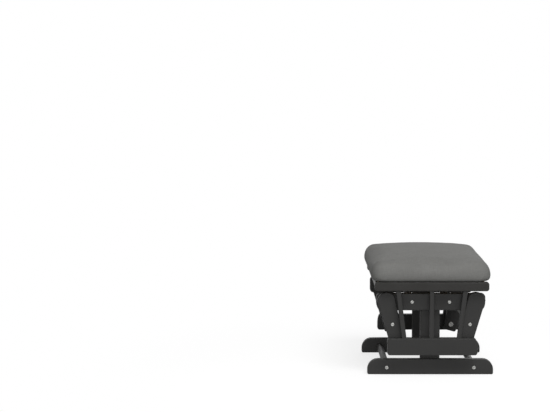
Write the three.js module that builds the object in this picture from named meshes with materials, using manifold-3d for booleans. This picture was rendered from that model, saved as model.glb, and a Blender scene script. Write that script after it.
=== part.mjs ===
// A glider ottoman: a padded seat on two slatted side frames, which hangs by four swing arms
// from a standing base and glides along X. Y runs across the glide and Z is up. The origin is on
// the floor, under the middle of the base. Right is the side at -Y and front is the end at +X.
import * as THREE from "three";
import { mergeVertices } from "three/addons/utils/BufferGeometryUtils.js";
import Module from "manifold-3d";

const wasm = await Module();
wasm.setup();

// Driving dimensions, in millimetres.

// Fits that every joint shares
const fit = 0.3; // gap between two pieces that are glued or bolted face to face
const runningFit = 0.15; // radial clearance of a shank that turns in its bore
const cutOverrun = 1; // how far a cutting solid runs past the face that it opens
const edgeRound = 3; // rounding of the boards' edges

// Base: two foot rails, two top rails, and a centre post on the inner side of each pair
const baseWidth = 400; // over the outer faces of the rails
const baseBoardThickness = 22;
const footLength = 378;
const footHeight = 47;
const footCornerRadius = 32;
const footBottomRadius = 5;
const topRailLength = 327;
const topRailHeight = 50;
const topRailCornerRadius = 12;
const pivotAboveTopRailMiddle = 2.5;
const postWidth = 59;
const postThickness = 20;
const postRiseFromFloor = 8;
const postDropFromRailTop = 7;
const postCornerRadius = 4;

// Round crossbars
const crossbarDiameter = 20;
const crossbarEdge = 1.5; // chamfer at a crossbar's ends
const footCrossbarInset = 58; // from the foot rails' ends
const footCrossbarHeight = 21;
const upperCrossbarOffset = 56; // from the middle, along X
const upperCrossbarBelowPivot = 3;
const armCrossbarShare = 0.5; // place along the arm, as a share of the way from pivot to pivot

// Crossbar bolts
const boltShankDiameter = 6;
const boltHeadDiameter = 12;
const boltHeadHeight = 2.4;
const boltHeadDome = 0.7;
const boltReach = 28; // how far a shank runs into its crossbar
const boltSocketWidth = 4.5; // across the corners of the six-sided socket
const boltSocketDepth = 1.6;

// Pivots, arms and their bolts
const upperPivotOffset = 133;
const upperPivotHeight = 223;
const lowerPivotOffset = 98;
const lowerPivotHeight = 88;
const armThickness = 20;
const armTopWidth = 53; // below its round top
const armTopRadius = 29;
const armEndWidth = 42;
const armEndOverhang = 21; // from the lower pivot to the arm's end
const armEndCornerRadius = 6;
const washerThickness = 3;
const washerDiameter = 26;
const pivotShankDiameter = 8;
const pivotHeadWidth = 16; // across the corners of the six-sided head
const pivotHeadHeight = 5;
const pivotReach = 14; // how far a pivot bolt runs into the board that it ends in
const openPivotPlay = 1.3; // extra radius of the rear arms' lower bores

// Glide frames: on each side a seat rail, a lower rail and three slats
const glideBoardThickness = 20;
const lowerRailLength = 273;
const lowerRailHeight = 51;
const lowerPivotBelowRailTop = 29;
const lowerRailEndRoundLength = 9;
const lowerRailEndRoundHeight = 30;
const lowerRailBottomRadius = 8;
const seatRailLength = 340;
const seatRailCornerRadius = 8;
const seatAboveArms = 6.5;
const slatWidth = 13;
const slatDepth = 14;
const slatTopOffset = 100;
const slatBottomOffset = 82;

// Seat: two end rails and a board between the seat rails, and the cushion on top
const endRailWidth = 20;
const endRailHeight = 18;
const endRailInset = 5; // from the seat rails' ends
const boardThickness = 9;
const boardInset = 12; // from the same ends
const cushionLength = 360; // at its widest
const cushionWidth = 500;
const cushionHeight = 76;
const cushionCornerRadius = 36;
const cushionFootInset = 11; // the lower edge, from the widest line
const cushionWidestHeight = 20;
const cushionShoulderInset = 32; // where the rounding of the shoulder would end
const cushionShoulderHeight = 65;
const cushionShoulderTurn = 78; // degrees of that rounding that show
const cushionWaist = 0.8; // how far the middle of each side is drawn in

// Counts of segments
const cornerSegments = 6;
const arcDivisions = 3; // an arc of an outline gets twice as many sides
const boreSegments = 16;
const turnedSegments = 16;
const edgeSegments = 1;
const hexSides = 6;
const cushionSideSteps = 6;
const cushionFootRings = 3;
const cushionShoulderRings = 6;
const cushionCrownRings = 6;
const crownBend = 2.4; // how flat the middle of the cushion's crown is
const weldDistance = 1e-4; // points closer than this are one

// Levels and planes that follow from them
const half = (size) => size / 2;
const pivotGap = washerThickness + fit + fit;
const baseFace = half(baseWidth);
const baseBoardY = baseFace - half(baseBoardThickness);
const postY = baseFace - baseBoardThickness - fit - half(postThickness);
const footCrossbarOffset = half(footLength) - footCrossbarInset;
const armInnerFace = baseFace + pivotGap;
const armY = armInnerFace + half(armThickness);
const glideInnerFace = armInnerFace + armThickness + pivotGap;
const glideY = glideInnerFace + half(glideBoardThickness);
const topRailMiddle = upperPivotHeight - pivotAboveTopRailMiddle;
const lowerRailMiddle = lowerPivotHeight + lowerPivotBelowRailTop - half(lowerRailHeight);
const seatBottom = upperPivotHeight + armTopRadius + seatAboveArms;
const seatRailHeight = endRailHeight + fit + boardThickness;
const seatTop = seatBottom + seatRailHeight;
const armRun = upperPivotOffset - lowerPivotOffset;
const armDrop = upperPivotHeight - lowerPivotHeight;
const armLean = Math.atan2(armRun, armDrop);
const armReach = Math.hypot(armRun, armDrop);

const sides = [
  { side: "right", across: -1 },
  { side: "left", across: 1 },
];
const ends = [
  { end: "front", along: 1 },
  { end: "rear", along: -1 },
];

const finishes = {
  paint: new THREE.MeshStandardMaterial({ color: 0x343432, roughness: 0.5, metalness: 0 }),
  steel: new THREE.MeshStandardMaterial({ color: 0xa8a8a4, roughness: 0.35, metalness: 0.9 }),
  nylon: new THREE.MeshStandardMaterial({ color: 0xd8d6cf, roughness: 0.5, metalness: 0 }),
  plywood: new THREE.MeshStandardMaterial({ color: 0xb08a5b, roughness: 0.7, metalness: 0 }),
  fabric: new THREE.MeshStandardMaterial({ color: 0x77776f, roughness: 0.95, metalness: 0 }),
};

// Solids: joins and cuts

function toSolid(geometry) {
  const bare = geometry.clone();
  bare.deleteAttribute("normal");
  bare.deleteAttribute("uv");
  const merged = mergeVertices(bare, weldDistance);
  const mesh = new wasm.Mesh({
    numProp: 3,
    vertProperties: merged.attributes.position.array,
    triVerts: new Uint32Array(merged.index.array),
  });
  return new wasm.Manifold(mesh);
}

function toGeometry(solid) {
  const mesh = solid.getMesh();
  const geometry = new THREE.BufferGeometry();
  geometry.setAttribute("position", new THREE.BufferAttribute(mesh.vertProperties, mesh.numProp));
  geometry.setIndex(new THREE.BufferAttribute(mesh.triVerts, 1));
  geometry.computeVertexNormals();
  return geometry;
}

function cut(geometry, tools) {
  return toGeometry(tools.reduce((solid, tool) => solid.subtract(toSolid(tool)), toSolid(geometry)));
}

function join(geometry, other) {
  return toGeometry(toSolid(geometry).add(toSolid(other)));
}

// A board lies in the XZ plane and has its thickness along Y, with its middle at Y = 0.
function board(outline, thickness, round = edgeRound) {
  const geometry = new THREE.ExtrudeGeometry(outline, {
    depth: thickness - round - round,
    bevelThickness: round,
    bevelSize: round,
    bevelOffset: -round,
    bevelSegments: edgeSegments,
    curveSegments: arcDivisions,
  });
  geometry.translate(0, 0, round - half(thickness));
  geometry.rotateX(Math.PI / 2);
  return geometry;
}

// An upright rectangle about the origin whose top and bottom corners are quarter ellipses.
function roundedRectangle(length, height, top, bottom) {
  const x = half(length);
  const z = half(height);
  const quarter = Math.PI / 2;
  const shape = new THREE.Shape();
  shape.moveTo(bottom.long - x, -z);
  shape.lineTo(x - bottom.long, -z);
  shape.absellipse(x - bottom.long, bottom.high - z, bottom.long, bottom.high, -quarter, 0);
  shape.lineTo(x, z - top.high);
  shape.absellipse(x - top.long, z - top.high, top.long, top.high, 0, quarter);
  shape.lineTo(top.long - x, z);
  shape.absellipse(top.long - x, z - top.high, top.long, top.high, quarter, 2 * quarter);
  shape.lineTo(-x, bottom.high - z);
  shape.absellipse(bottom.long - x, bottom.high - z, bottom.long, bottom.high, -2 * quarter, -quarter);
  return shape;
}

const round = (radius) => ({ long: radius, high: radius });

// A cylinder along Y from one depth to another, for a bore at x, z.
function borer(x, z, diameter, from, to) {
  const geometry = new THREE.CylinderGeometry(half(diameter), half(diameter), to - from, boreSegments);
  geometry.translate(x, half(from + to), z);
  return geometry;
}

function throughBore(x, z, diameter, thickness) {
  const depth = half(thickness) + cutOverrun;
  return borer(x, z, diameter, -depth, depth);
}

// A bore of the given depth that opens on the face at +Y or, with facing -1, at -Y.
function blindBore(x, z, diameter, thickness, depth, facing) {
  const mouth = half(thickness) + cutOverrun;
  const floor = half(thickness) - depth;
  return facing > 0 ? borer(x, z, diameter, floor, mouth) : borer(x, z, diameter, -mouth, -floor);
}

// A turned piece about the Y axis, from the radii and places of its profile.
function turned(profile) {
  const points = profile.map(([radius, y]) => new THREE.Vector2(radius, y));
  return new THREE.LatheGeometry(points, turnedSegments);
}

const boltBore = boltShankDiameter + fit + fit;
const pivotBore = pivotShankDiameter + runningFit + runningFit;
const openPivotBore = pivotBore + openPivotPlay + openPivotPlay;

// A dowel along Y with a blind bore for a bolt in each end.
function crossbar(length) {
  const end = half(length);
  const floor = end - boltReach - cutOverrun;
  const outer = half(crossbarDiameter);
  return turned([
    [0, -floor],
    [half(boltBore), -floor],
    [half(boltBore), -end],
    [outer - crossbarEdge, -end],
    [outer, crossbarEdge - end],
    [outer, end - crossbarEdge],
    [outer - crossbarEdge, end],
    [half(boltBore), end],
    [half(boltBore), floor],
    [0, floor],
  ]);
}

// A bolt along Y whose domed head sits on Y = 0 and faces +Y, with a six-sided socket.
function crossbarBolt(grip) {
  const shank = half(boltShankDiameter);
  const head = half(boltHeadDiameter);
  const rim = boltHeadHeight - boltHeadDome;
  const body = turned([
    [0, -grip - boltReach],
    [shank, -grip - boltReach],
    [shank, 0],
    [head, 0],
    [head, rim],
    [head - boltHeadDome, boltHeadHeight],
    [0, boltHeadHeight],
  ]);
  const radius = half(boltSocketWidth);
  const socket = new THREE.CylinderGeometry(radius, radius, boltSocketDepth + cutOverrun, hexSides);
  socket.translate(0, boltHeadHeight + half(cutOverrun - boltSocketDepth), 0);
  return cut(body, [socket]);
}

// A bolt along Y whose six-sided head ends at Y = 0 and whose shank runs on to +Y.
function pivotBolt(grip) {
  const radius = half(pivotHeadWidth);
  const head = new THREE.CylinderGeometry(radius, radius, pivotHeadHeight, hexSides);
  head.translate(0, -half(pivotHeadHeight), 0);
  const length = grip + pivotReach + half(pivotHeadHeight);
  const thick = half(pivotShankDiameter);
  const shank = new THREE.CylinderGeometry(thick, thick, length, boreSegments);
  shank.translate(0, half(length) - half(pivotHeadHeight), 0);
  return join(head, shank);
}

function washer() {
  const inner = half(pivotBore);
  const outer = half(washerDiameter);
  const face = half(washerThickness);
  return turned([
    [inner, -face],
    [outer, -face],
    [outer, face],
    [inner, face],
    [inner, -face],
  ]);
}

// The pieces of the base

function footRail() {
  const top = round(footCornerRadius);
  const outline = roundedRectangle(footLength, footHeight, top, round(footBottomRadius));
  const z = footCrossbarHeight - half(footHeight);
  const bores = ends.map(({ along }) =>
    throughBore(along * footCrossbarOffset, z, boltBore, baseBoardThickness));
  return cut(board(outline, baseBoardThickness), bores);
}

function topRail() {
  const corner = round(topRailCornerRadius);
  const outline = roundedRectangle(topRailLength, topRailHeight, corner, corner);
  const barZ = upperPivotHeight - upperCrossbarBelowPivot - topRailMiddle;
  const bores = ends.flatMap(({ along }) => [
    throughBore(along * upperCrossbarOffset, barZ, boltBore, baseBoardThickness),
    throughBore(along * upperPivotOffset, pivotAboveTopRailMiddle, pivotBore, baseBoardThickness),
  ]);
  return cut(board(outline, baseBoardThickness), bores);
}

const postBottom = postRiseFromFloor;
const postTop = topRailMiddle + half(topRailHeight) - postDropFromRailTop;

function centrePost() {
  const corner = round(postCornerRadius);
  return board(roundedRectangle(postWidth, postTop - postBottom, corner, corner), postThickness);
}

// An arm hangs down from its upper pivot, at the origin, to its lower pivot.
function armOutline() {
  const top = half(armTopWidth);
  const turn = Math.acos(top / armTopRadius);
  const corner = armEndCornerRadius;
  const end = half(armEndWidth);
  const tip = -armReach - armEndOverhang;
  const quarter = Math.PI / 2;
  const shape = new THREE.Shape();
  shape.moveTo(corner - end, tip);
  shape.lineTo(end - corner, tip);
  shape.absarc(end - corner, tip + corner, corner, -quarter, 0);
  shape.lineTo(top, armTopRadius * Math.sin(turn));
  shape.absarc(0, 0, armTopRadius, turn, 2 * quarter - turn);
  shape.lineTo(-end, tip + corner);
  shape.absarc(corner - end, tip + corner, corner, 2 * quarter, 3 * quarter);
  return shape;
}

function swingArm(across, lowerBore) {
  return cut(board(armOutline(), armThickness), [
    blindBore(0, 0, pivotBore, armThickness, pivotReach + cutOverrun, -across),
    throughBore(0, -armReach * armCrossbarShare, boltBore, armThickness),
    throughBore(0, -armReach, lowerBore, armThickness),
  ]);
}

// The pieces of the seat

function lowerRail(across) {
  const top = { long: lowerRailEndRoundLength, high: lowerRailEndRoundHeight };
  const outline = roundedRectangle(lowerRailLength, lowerRailHeight, top, round(lowerRailBottomRadius));
  const z = lowerPivotHeight - lowerRailMiddle;
  const depth = pivotReach + cutOverrun;
  const bores = ends.map(({ along }) =>
    blindBore(along * lowerPivotOffset, z, pivotBore, glideBoardThickness, depth, -across));
  return cut(board(outline, glideBoardThickness), bores);
}

function seatRail() {
  const corner = round(seatRailCornerRadius);
  return board(roundedRectangle(seatRailLength, seatRailHeight, corner, corner), glideBoardThickness);
}

// A slat leans from the lower rail's top to the seat rail's bottom, and both its ends are level.
function slat(bottomX, topX) {
  const bottom = lowerPivotHeight + lowerPivotBelowRailTop + fit;
  const top = seatBottom - fit;
  const x = half(slatWidth);
  const shape = new THREE.Shape();
  shape.moveTo(bottomX - x, bottom);
  shape.lineTo(bottomX + x, bottom);
  shape.lineTo(topX + x, top);
  shape.lineTo(topX - x, top);
  shape.closePath();
  return board(shape, slatDepth, half(edgeRound));
}

function endRail() {
  const length = glideInnerFace + glideInnerFace - fit - fit;
  return new THREE.BoxGeometry(endRailWidth, length, endRailHeight);
}

function seatBoard() {
  const length = seatRailLength - boardInset - boardInset;
  const width = glideInnerFace + glideInnerFace - fit - fit;
  return new THREE.BoxGeometry(length, width, boardThickness);
}

// One ring of the cushion: a rounded rectangle at a height, drawn in at the middle of each side.
function cushionRing(inset, scale, z) {
  const x = half(cushionLength) - inset;
  const y = half(cushionWidth) - inset;
  const radius = cushionCornerRadius - half(inset);
  const corners = [[1, 1], [-1, 1], [-1, -1], [1, -1]];
  const ring = [];
  corners.forEach(([signX, signY], corner) => {
    const centre = new THREE.Vector2(signX * (x - radius), signY * (y - radius));
    for (let step = 0; step <= cornerSegments; step += 1) {
      const turn = (corner + step / cornerSegments) * (Math.PI / 2);
      ring.push(new THREE.Vector2(Math.cos(turn), Math.sin(turn)).multiplyScalar(radius).add(centre));
    }
    const [nextX, nextY] = corners[(corner + 1) % corners.length];
    const start = ring[ring.length - 1].clone();
    const end = nextX === signX
      ? new THREE.Vector2(start.x, nextY * (y - radius))
      : new THREE.Vector2(nextX * (x - radius), start.y);
    const inwards = new THREE.Vector2(nextX === signX ? -signX : 0, nextX === signX ? 0 : -signY);
    for (let step = 1; step < cushionSideSteps; step += 1) {
      const share = step / cushionSideSteps;
      const drawn = cushionWaist * Math.sin(share * Math.PI) ** 2;
      ring.push(start.clone().lerp(end, share).addScaledVector(inwards, drawn));
    }
  });
  return ring.map((point) => new THREE.Vector3(point.x * scale, point.y * scale, z));
}

// The rings from the lower edge up the bulging wall, round the shoulder and over the crown.
function cushionRings() {
  const quarter = Math.PI / 2;
  const rings = [];
  for (let step = 0; step <= cushionFootRings; step += 1) {
    const turn = (step / cushionFootRings) * quarter;
    const z = cushionWidestHeight * (1 - Math.cos(turn));
    rings.push(cushionRing(cushionFootInset * (1 - Math.sin(turn)), 1, z));
  }
  const rise = cushionShoulderHeight - cushionWidestHeight;
  let inset = 0;
  let shoulder = 0;
  for (let step = 1; step <= cushionShoulderRings; step += 1) {
    const turn = THREE.MathUtils.degToRad((step / cushionShoulderRings) * cushionShoulderTurn);
    inset = cushionShoulderInset * (1 - Math.cos(turn));
    shoulder = cushionWidestHeight + rise * Math.sin(turn);
    rings.push(cushionRing(inset, 1, shoulder));
  }
  for (let step = 1; step < cushionCrownRings; step += 1) {
    const scale = 1 - step / cushionCrownRings;
    rings.push(cushionRing(inset, scale, 0).map((point) => crowned(point, inset, shoulder)));
  }
  return rings;
}

// Lifts a point of the crown, which is highest in the middle and falls away to all four sides.
function crowned(point, inset, shoulder) {
  const along = 1 - Math.abs(point.x / (half(cushionLength) - inset)) ** crownBend;
  const across = 1 - Math.abs(point.y / (half(cushionWidth) - inset)) ** crownBend;
  return point.clone().setZ(shoulder + (cushionHeight - shoulder) * along * across);
}

function cushion() {
  const rings = cushionRings();
  const count = rings[0].length;
  const points = [...rings.flat(), new THREE.Vector3(), new THREE.Vector3(0, 0, cushionHeight)];
  const under = points.length - 2;
  const over = points.length - 1;
  const last = (rings.length - 1) * count;
  const faces = [];
  for (let i = 0; i < count; i += 1) {
    const next = (i + 1) % count;
    faces.push(under, next, i, over, last + i, last + next);
    for (let base = 0; base < last; base += count) {
      faces.push(base + i, base + next, base + count + next);
      faces.push(base + i, base + count + next, base + count + i);
    }
  }
  const geometry = new THREE.BufferGeometry().setFromPoints(points);
  geometry.setIndex(faces);
  geometry.computeVertexNormals();
  return geometry;
}

// Assembly

function place(group, name, geometry, finish, x, y, z) {
  const mesh = new THREE.Mesh(geometry, finish);
  mesh.name = name;
  mesh.position.set(x, y, z);
  group.add(mesh);
  return mesh;
}

// A crossbar bolt goes inwards, so the one on the right side is turned about.
function placeCrossbarBolt(group, name, grip, x, across, face, z) {
  const bolt = place(group, name, crossbarBolt(grip), finishes.steel, x, across * (face + fit), z);
  if (across < 0) bolt.rotation.x = Math.PI;
}

// A pivot bolt goes outwards from the inner face of the board that its head bears on.
function placePivotBolt(group, name, grip, x, across, face, z) {
  const bolt = place(group, name, pivotBolt(grip), finishes.steel, x, across * (face - fit), z);
  if (across < 0) bolt.rotation.x = Math.PI;
}

function baseSides(group) {
  for (const { side, across } of sides) {
    const y = across * baseBoardY;
    place(group, `foot_rail_${side}`, footRail(), finishes.paint, 0, y, half(footHeight));
    place(group, `top_rail_${side}`, topRail(), finishes.paint, 0, y, topRailMiddle);
    const postMiddle = half(postBottom + postTop);
    place(group, `centre_post_${side}`, centrePost(), finishes.paint, 0, across * postY, postMiddle);
  }
}

function baseCrossbars(group) {
  const length = (baseFace - baseBoardThickness - fit) * 2;
  const bars = [
    { name: "foot", offset: footCrossbarOffset, z: footCrossbarHeight },
    { name: "upper", offset: upperCrossbarOffset, z: upperPivotHeight - upperCrossbarBelowPivot },
  ];
  for (const { name, offset, z } of bars) {
    for (const { end, along } of ends) {
      const x = along * offset;
      place(group, `${name}_crossbar_${end}`, crossbar(length), finishes.paint, x, 0, z);
      for (const { side, across } of sides) {
        const bolt = `${name}_bolt_${end}_${side}`;
        placeCrossbarBolt(group, bolt, baseBoardThickness, x, across, baseFace, z);
      }
    }
  }
}

// Each pivot has a nylon washer between the two boards that turn against each other.
function upperPivots(group) {
  for (const { end, along } of ends) {
    for (const { side, across } of sides) {
      const x = along * upperPivotOffset;
      const name = `upper_pivot_bolt_${end}_${side}`;
      const innerFace = baseFace - baseBoardThickness;
      placePivotBolt(group, name, baseBoardThickness + pivotGap, x, across, innerFace, upperPivotHeight);
      const washerY = across * (baseFace + half(pivotGap));
      place(group, `upper_washer_${end}_${side}`, washer(), finishes.nylon, x, washerY, upperPivotHeight);
    }
  }
}

function armPair(group, { end, along }) {
  const lowerBore = along > 0 ? pivotBore : openPivotBore;
  const barX = along * THREE.MathUtils.lerp(upperPivotOffset, lowerPivotOffset, armCrossbarShare);
  const barZ = THREE.MathUtils.lerp(upperPivotHeight, lowerPivotHeight, armCrossbarShare);
  const barLength = (armInnerFace - fit) * 2;
  for (const { side, across } of sides) {
    const name = `swing_arm_${end}_${side}`;
    const x = along * upperPivotOffset;
    const y = across * armY;
    const arm = place(group, name, swingArm(across, lowerBore), finishes.paint, x, y, upperPivotHeight);
    arm.rotation.y = along * armLean;
    const bolt = `arm_bolt_${end}_${side}`;
    placeCrossbarBolt(group, bolt, armThickness, barX, across, armInnerFace + armThickness, barZ);
  }
  place(group, `arm_crossbar_${end}`, crossbar(barLength), finishes.paint, barX, 0, barZ);
}

function lowerPivots(group) {
  for (const { end, along } of ends) {
    for (const { side, across } of sides) {
      const x = along * lowerPivotOffset;
      const name = `lower_pivot_bolt_${end}_${side}`;
      placePivotBolt(group, name, armThickness + pivotGap, x, across, armInnerFace, lowerPivotHeight);
      const washerY = across * (glideInnerFace - half(pivotGap));
      place(group, `lower_washer_${end}_${side}`, washer(), finishes.nylon, x, washerY, lowerPivotHeight);
    }
  }
}

function glideFrame(group, { side, across }) {
  const y = across * glideY;
  place(group, `lower_rail_${side}`, lowerRail(across), finishes.paint, 0, y, lowerRailMiddle);
  place(group, `seat_rail_${side}`, seatRail(), finishes.paint, 0, y, seatBottom + half(seatRailHeight));
  place(group, `slat_middle_${side}`, slat(0, 0), finishes.paint, 0, y, 0);
  for (const { end, along } of ends) {
    const leaning = slat(along * slatBottomOffset, along * slatTopOffset);
    place(group, `slat_${end}_${side}`, leaning, finishes.paint, 0, y, 0);
  }
}

function seat(group) {
  const endRailX = half(seatRailLength) - endRailInset - half(endRailWidth);
  for (const { end, along } of ends) {
    const z = seatBottom + half(endRailHeight);
    place(group, `seat_end_rail_${end}`, endRail(), finishes.paint, along * endRailX, 0, z);
  }
  place(group, "seat_board", seatBoard(), finishes.plywood, 0, 0, seatTop - half(boardThickness));
  place(group, "cushion", cushion(), finishes.fabric, 0, 0, seatTop + fit);
}

const base = new THREE.Group();
baseSides(base);
baseCrossbars(base);
upperPivots(base);

const arms = new THREE.Group();
ends.forEach((end) => armPair(arms, end));

const gliding = new THREE.Group();
lowerPivots(gliding);
sides.forEach((side) => glideFrame(gliding, side));
seat(gliding);

const ottoman = new THREE.Group();
ottoman.add(base, arms, gliding);

export default ottoman;
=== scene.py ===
"""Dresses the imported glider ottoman.

The frame's boards are rebuilt with finely rounded edges, the slats, dowels and fasteners are
made by geometry nodes, and the seat is a stuffed cushion in woven fabric. Sizes are in
millimetres unless a name says otherwise; meshes are in metres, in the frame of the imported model.
"""

import logging
import math
from dataclasses import dataclass, field
from enum import Enum
from typing import Callable, Iterable, Optional, Sequence

import bmesh
import bpy
import numpy as np
from mathutils import Matrix, Vector


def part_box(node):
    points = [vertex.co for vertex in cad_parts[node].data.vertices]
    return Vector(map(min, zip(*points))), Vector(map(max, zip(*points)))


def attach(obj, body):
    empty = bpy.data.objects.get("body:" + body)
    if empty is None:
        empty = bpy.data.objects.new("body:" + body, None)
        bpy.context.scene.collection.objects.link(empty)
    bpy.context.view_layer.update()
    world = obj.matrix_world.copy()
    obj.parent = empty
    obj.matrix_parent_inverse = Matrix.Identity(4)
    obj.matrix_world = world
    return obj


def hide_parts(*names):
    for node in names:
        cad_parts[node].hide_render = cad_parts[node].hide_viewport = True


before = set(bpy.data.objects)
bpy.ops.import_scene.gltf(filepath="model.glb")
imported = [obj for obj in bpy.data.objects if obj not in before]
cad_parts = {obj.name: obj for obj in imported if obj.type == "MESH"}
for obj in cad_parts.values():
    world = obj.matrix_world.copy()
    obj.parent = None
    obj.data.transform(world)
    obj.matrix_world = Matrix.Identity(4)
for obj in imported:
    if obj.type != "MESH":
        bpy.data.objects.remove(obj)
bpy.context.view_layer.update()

MM = 0.001
LOG = logging.getLogger("glider_ottoman")
SIDES = ("right", "left")
ENDS = ("front", "rear")

BOLT_BORE = 3.3
PIVOT_BORE = 4.15
BLIND_DEPTH = 15.0
DOWEL_SIDES = 48
ARRIS_STEPS = 4

PORE_SCALE = (9.0, 150.0, 150.0)
BRUSH_SCALE = (30.0, 700.0, 700.0)
PEEL_SCALE = 1400.0
PATCH_SCALE = 14.0
CHIP_SCALE = 160.0
PLY_GRAIN_SCALE = (140.0, 7.0, 140.0)
THREAD_DRIFT = 0.02
THREAD_CROSSING = 0.35


# Node trees


class NodeSheet:
    """Adds nodes to one node tree and joins them."""

    def __init__(self, tree: bpy.types.NodeTree) -> None:
        """Takes the tree to work on."""
        self.tree = tree

    def add(self, kind: str, feeds: Optional[dict] = None, **settings: object) -> bpy.types.Node:
        """Adds one node.

        Args:
            kind: Blender's name for the kind of node.
            feeds: what goes into each input, by name or number: a socket or a plain value.
            **settings: the node's own properties.

        Returns:
            The new node.
        """
        node = self.tree.nodes.new(kind)
        for name, value in settings.items():
            setattr(node, name, value)
        self.feed_all(node, feeds or {})
        return node

    def feed(self, socket: bpy.types.NodeSocket, value: object) -> None:
        """Links a value to an input, or sets it as the input's own.

        Args:
            socket: the input.
            value: a socket or a plain value.
        """
        if isinstance(value, bpy.types.NodeSocket):
            self.tree.links.new(value, socket)
        else:
            socket.default_value = value

    def feed_all(self, node: bpy.types.Node, feeds: dict) -> None:
        """Feeds several inputs of a node, by name or number."""
        for name, value in feeds.items():
            self.feed(node.inputs[name], value)

    def math(self, operation: str, *values: object) -> bpy.types.NodeSocket:
        """Adds a Math node and returns its output."""
        node = self.add("ShaderNodeMath", dict(enumerate(values)), operation=operation)
        return node.outputs[0]

    def noise(self, vector: object, scale: float, detail: float = 2.0) -> bpy.types.NodeSocket:
        """Adds a noise pattern and returns its value."""
        feeds = {"Vector": vector, "Scale": scale, "Detail": detail}
        return self.add("ShaderNodeTexNoise", feeds).outputs[0]

    def ramp(self, value: object, low: float, high: float, to_low: float = 0.0,
             to_high: float = 1.0) -> bpy.types.NodeSocket:
        """Maps a value smoothly from one range to another.

        Args:
            value: what to map.
            low: the start of its range.
            high: the end of its range.
            to_low: what low becomes.
            to_high: what high becomes.

        Returns:
            The mapped value.
        """
        feeds = {"Value": value, "From Min": low, "From Max": high, "To Min": to_low, "To Max": to_high}
        node = self.add("ShaderNodeMapRange", feeds, interpolation_type="SMOOTHSTEP")
        return node.outputs[0]

    def mix_colour(self, share: object, first: object, second: object) -> bpy.types.NodeSocket:
        """Mixes two colours.

        Args:
            share: the second colour's share, from 0 to 1.
            first: the first colour.
            second: the second colour.

        Returns:
            The mixed colour.
        """
        node = self.add("ShaderNodeMix", data_type="RGBA")
        for name, value in (("Factor_Float", share), ("A_Color", first), ("B_Color", second)):
            socket = next(s for s in node.inputs if s.identifier == name)
            self.feed(socket, value)
        return next(s for s in node.outputs if s.identifier == "Result_Color")

    def scaled(self, vector: object, factors: tuple) -> bpy.types.NodeSocket:
        """Multiplies a vector by a factor for each axis and returns the result."""
        return self.add("ShaderNodeVectorMath", {0: vector, 1: factors}, operation="MULTIPLY").outputs[0]

    def axes(self, vector: object) -> bpy.types.bpy_prop_collection:
        """Splits a vector and returns its X, Y and Z."""
        return self.add("ShaderNodeSeparateXYZ", {0: vector}).outputs

    def times(self, first: object, second: object) -> bpy.types.NodeSocket:
        """Multiplies two values and returns the result."""
        return self.math("MULTIPLY", first, second)


def new_group(kind: str, name: str, inputs: Sequence[tuple], outputs: Sequence[tuple]) -> tuple:
    """Starts a node group with named inputs and outputs.

    Args:
        kind: "ShaderNodeTree" or "GeometryNodeTree".
        name: the group's name.
        inputs: (name, socket type, default or None) of each input.
        outputs: (name, socket type) of each output.

    Returns:
        The sheet to add nodes with, the input node and the output node.
    """
    tree = bpy.data.node_groups.new(name, kind)
    for label, socket, default in inputs:
        item = tree.interface.new_socket(name=label, in_out="INPUT", socket_type=socket)
        if default is not None:
            item.default_value = default
    for label, socket in outputs:
        tree.interface.new_socket(name=label, in_out="OUTPUT", socket_type=socket)
    sheet = NodeSheet(tree)
    return sheet, sheet.add("NodeGroupInput"), sheet.add("NodeGroupOutput")


def painted_grain_group() -> bpy.types.NodeTree:
    """Builds the relief of wood grain under paint, which runs along the vector's X axis.

    Returns:
        A group that puts out the relief, the paint's unevenness, and a mask of lighter edges: part rubbed
        wear, part painted highlight where the rounded edges catch light.
    """
    sheet, given, out = new_group(
        "ShaderNodeTree", "grain_under_paint",
        [("Vector", "NodeSocketVector", None), ("Edge", "NodeSocketFloat", 0.0)],
        [("Relief", "NodeSocketFloat"), ("Unevenness", "NodeSocketFloat"), ("WornAndHighlit", "NodeSocketFloat")])
    vector = given.outputs["Vector"]
    pores = sheet.noise(sheet.scaled(vector, PORE_SCALE), 1.0, 3.0)
    brush = sheet.noise(sheet.scaled(vector, BRUSH_SCALE), 1.0, 1.0)
    peel = sheet.noise(vector, PEEL_SCALE, 1.0)
    relief = sheet.math("MULTIPLY_ADD", brush, 0.25, sheet.math("MULTIPLY_ADD", peel, 0.12, pores))
    patches = sheet.noise(vector, PATCH_SCALE, 3.0)
    chips = sheet.noise(vector, CHIP_SCALE, 3.0)
    # Lighter edges: part rubbed wear, part painted highlight where the rounded edges catch light.
    worn_and_highlit = sheet.times(given.outputs["Edge"], sheet.ramp(chips, 0.42, 0.68))
    sheet.feed_all(out, {"Relief": relief, "Unevenness": patches, "WornAndHighlit": worn_and_highlit})
    return sheet.tree


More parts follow.
